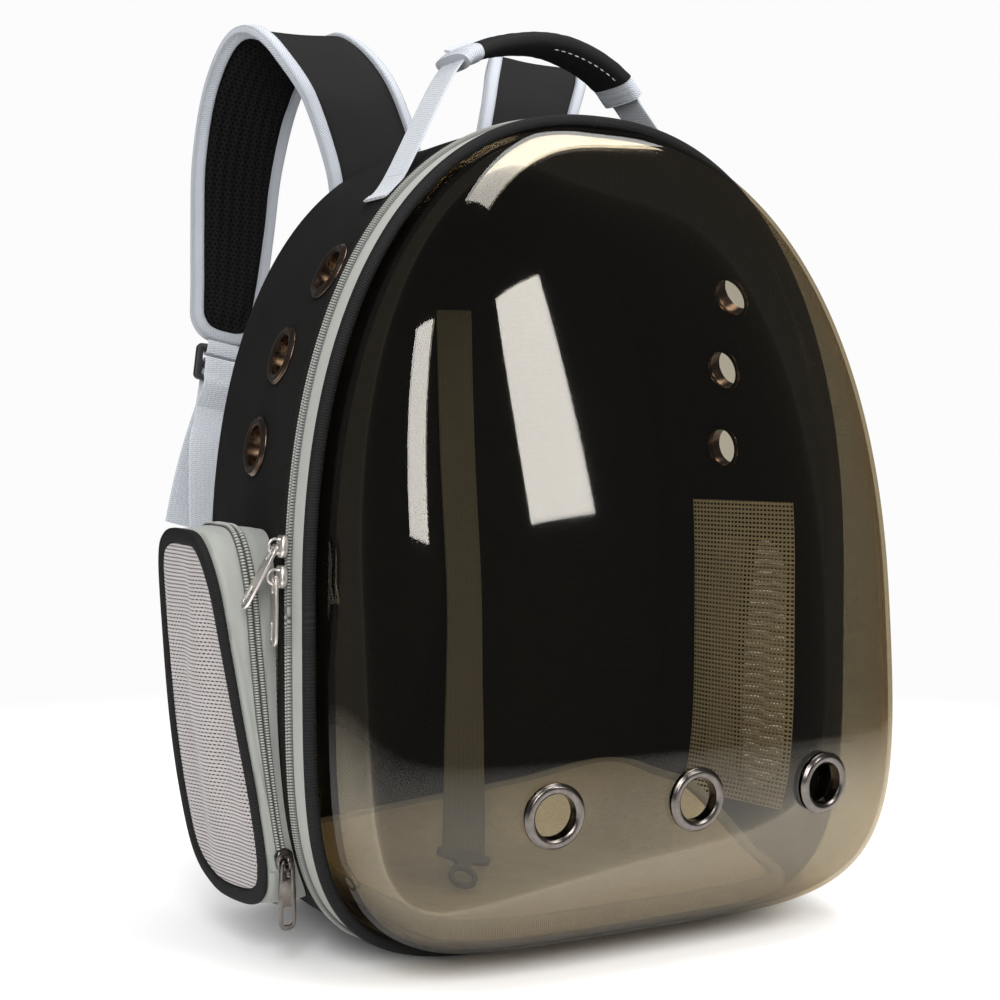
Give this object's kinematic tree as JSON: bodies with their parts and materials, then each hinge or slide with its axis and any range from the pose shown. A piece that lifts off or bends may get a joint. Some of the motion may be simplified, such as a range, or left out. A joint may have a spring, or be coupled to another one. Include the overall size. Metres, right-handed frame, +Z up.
{
  "type": "pet carrier backpack",
  "caption": "Soft backpack carrier for a small pet, with a clear domed front, vent eyelets, net side pockets, a top handle and padded shoulder straps.",
  "frame": {"origin": "middle of the flat base of the body, on the floor", "axes": "+Z up, -Y towards the front with the clear dome, +Y towards the wearer's back and the shoulder straps, +X to the right as seen from the front"},
  "size_m": [0.3976, 0.3364, 0.4927],
  "materials": {
    "clear_dome": "smoke brown clear plastic, glossy",
    "eyelet_metal": "gunmetal plated",
    "black_fabric": "twill weave",
    "grey_tape": "herringbone woven tape",
    "grey_coil": "nylon coil",
    "net": "fine net",
    "padded_mesh": "black spacer mesh",
    "pocket_fabric": "plain weave",
    "black_binding": "ribbed binding tape",
    "pale_binding": "twill binding tape",
    "pale_webbing": "woven webbing",
    "black_plastic": "moulded",
    "grey_plastic": "moulded",
    "beige_fleece": "short fleece",
    "mat_binding": "binding tape",
    "slider_metal": "polished nickel"
  },
  "bodies": {
    "bag": {"bubble": "clear_dome", "bubble_grommet_1": "eyelet_metal", "bubble_grommet_2": "eyelet_metal", "bubble_grommet_3": "eyelet_metal", "front_piping": "black_fabric", "zip_tape": "grey_tape", "zip_coil": "grey_coil", "gusset_wall": "black_fabric", "wall_grommet_L1": "eyelet_metal", "wall_grommet_L2": "eyelet_metal", "wall_grommet_L3": "eyelet_metal", "wall_grommet_R1": "eyelet_metal", "wall_grommet_R2": "eyelet_metal", "wall_grommet_R3": "eyelet_metal", "window_net_L": "net", "window_net_R": "net", "back_panel": "black_fabric", "back_cushion": "padded_mesh", "pocket_wall_L": "pocket_fabric", "pocket_wall_R": "pocket_fabric", "pocket_coil_L": "grey_coil", "pocket_coil_R": "grey_coil", "pocket_binding_L": "black_binding", "pocket_binding_R": "black_binding", "pocket_face_L": "net", "pocket_face_R": "net", "strap_pad_L": "padded_mesh", "strap_pad_R": "padded_mesh", "strap_binding_L": "pale_binding", "strap_binding_R": "pale_binding", "strap_lock_L": "black_plastic", "strap_lock_R": "black_plastic", "strap_loop_L": "pale_webbing", "strap_loop_R": "pale_webbing", "strap_web_L": "pale_webbing", "strap_web_R": "pale_webbing", "handle_web": "pale_webbing", "handle_grip": "black_fabric", "handle_end_L": "pale_binding", "handle_end_R": "pale_binding", "floor_board": "black_fabric", "mat": "beige_fleece", "mat_edge": "mat_binding", "leash_web": "pale_webbing", "leash_hook": "grey_plastic", "slider_upper": "slider_metal", "slider_lower": "slider_metal", "pocket_slider_L": "slider_metal", "pocket_slider_R": "slider_metal"},
    "upper_pull": {"pull_upper": "slider_metal"},
    "lower_pull": {"pull_lower": "slider_metal"},
    "left_pocket_pull": {"pocket_pull_L": "slider_metal"},
    "right_pocket_pull": {"pocket_pull_R": "slider_metal"}
  },
  "joints": [
    {"name": "upper_pull_swing", "type": "hinge", "parent": "bag", "child": "upper_pull", "pos_m": [-0.16876, -0.05171, 0.2048], "axis": [0.1018, 0.9825, 0.1563], "range_deg": [0, 165]},
    {"name": "lower_pull_swing", "type": "hinge", "parent": "bag", "child": "lower_pull", "pos_m": [-0.16921, -0.05171, 0.19013], "axis": [0.0963, 0.9954, 0], "range_deg": [-5, 30]},
    {"name": "left_pocket_pull_swing", "type": "hinge", "parent": "bag", "child": "left_pocket_pull", "pos_m": [-0.16229, -0.04944, 0.05223], "axis": [-1, 0.0022, 0], "range_deg": [-5, 85]},
    {"name": "right_pocket_pull_swing", "type": "hinge", "parent": "bag", "child": "right_pocket_pull", "pos_m": [0.16229, -0.04944, 0.05223], "axis": [-1, -0.0022, 0], "range_deg": [-5, 85]}
  ]
}
